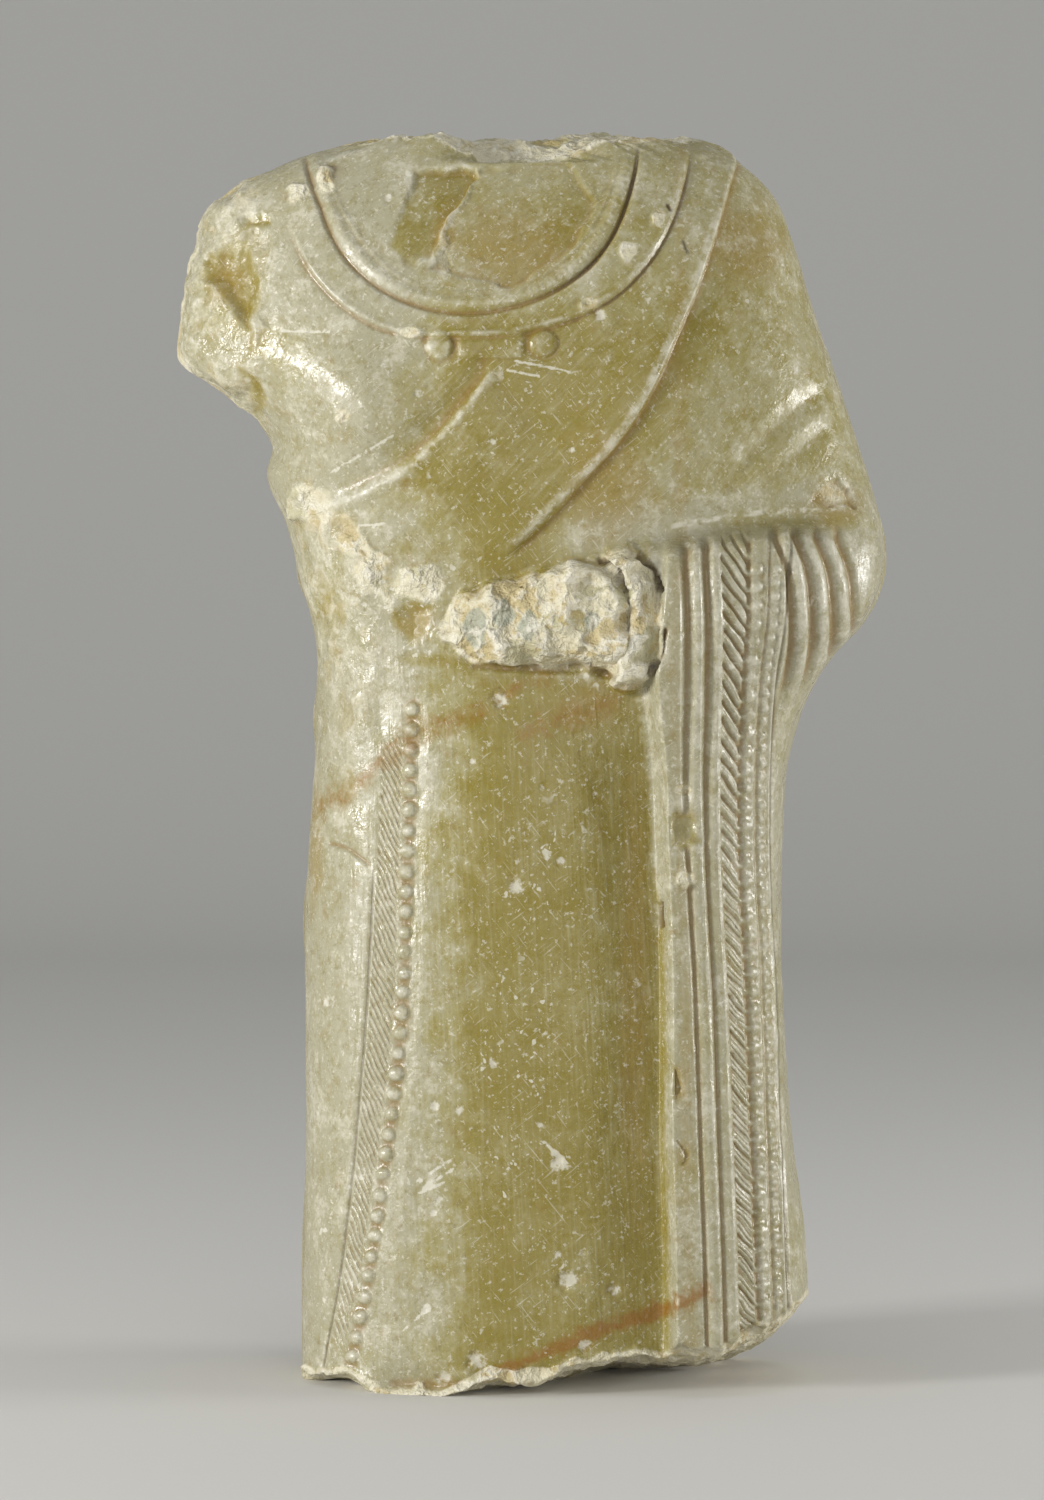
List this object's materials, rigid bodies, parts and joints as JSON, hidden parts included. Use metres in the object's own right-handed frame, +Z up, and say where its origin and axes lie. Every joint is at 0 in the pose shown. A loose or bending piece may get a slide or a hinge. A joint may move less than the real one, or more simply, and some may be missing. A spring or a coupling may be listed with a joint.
{
  "type": "headless draped statue",
  "caption": "Standing draped figure carved from one stone: headless, right arm broken off at the shoulder, shawl over the bent left arm, broken off at the shins.",
  "frame": {"origin": "middle of the bounding box, on the plane that the broken underside rests on", "axes": "+Z up along the figure, -Y the way it faces, +X to the viewer's right, which is the figure's left"},
  "size_m": [0.1564, 0.082, 0.2748],
  "materials": {
    "alabaster": "polished honey and olive calcite alabaster, slightly translucent, with pale rough breaks"
  },
  "bodies": {
    "root": {"alabaster_statue": "alabaster"}
  },
  "joints": []
}
